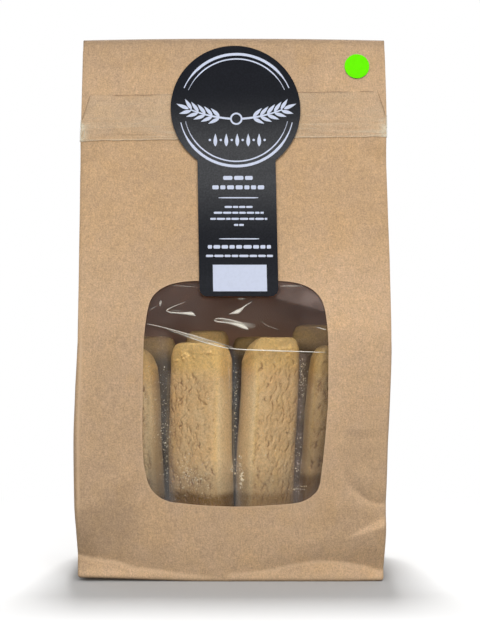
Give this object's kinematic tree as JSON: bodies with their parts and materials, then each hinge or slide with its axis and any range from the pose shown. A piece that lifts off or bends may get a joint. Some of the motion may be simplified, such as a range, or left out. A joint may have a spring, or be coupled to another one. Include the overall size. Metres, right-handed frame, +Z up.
{
  "type": "window bag of shortbread fingers",
  "caption": "Standing kraft paper bag with a clear front window, taped fold-over top and keyhole label, filled with shortbread fingers that stand on end.",
  "frame": {"origin": "centre of the flat base, on the surface it stands on", "axes": "+Z up towards the folded top, the front with the window and label faces -Y, +X to the right of the front"},
  "size_m": [0.1308, 0.0651, 0.2216],
  "materials": {
    "kraft_paper": "uncoated brown kraft paper",
    "clear_film": "clear glossy film, lightly crinkled",
    "black_label": "satin black sticker with white rules",
    "green_sticker": "bright matt green sticker",
    "clear_tape": "clear adhesive tape",
    "shortbread": "baked shortbread, pale gold and crumbly"
  },
  "bodies": {
    "root": {"paper_bag": "kraft_paper", "window_film": "clear_film", "label": "black_label", "dot_sticker": "green_sticker", "closing_tape": "clear_tape", "finger_front_1": "shortbread", "finger_front_2": "shortbread", "finger_front_3": "shortbread", "finger_front_4": "shortbread", "finger_back_1": "shortbread", "finger_back_2": "shortbread", "finger_back_3": "shortbread", "finger_back_4": "shortbread"}
  },
  "joints": []
}
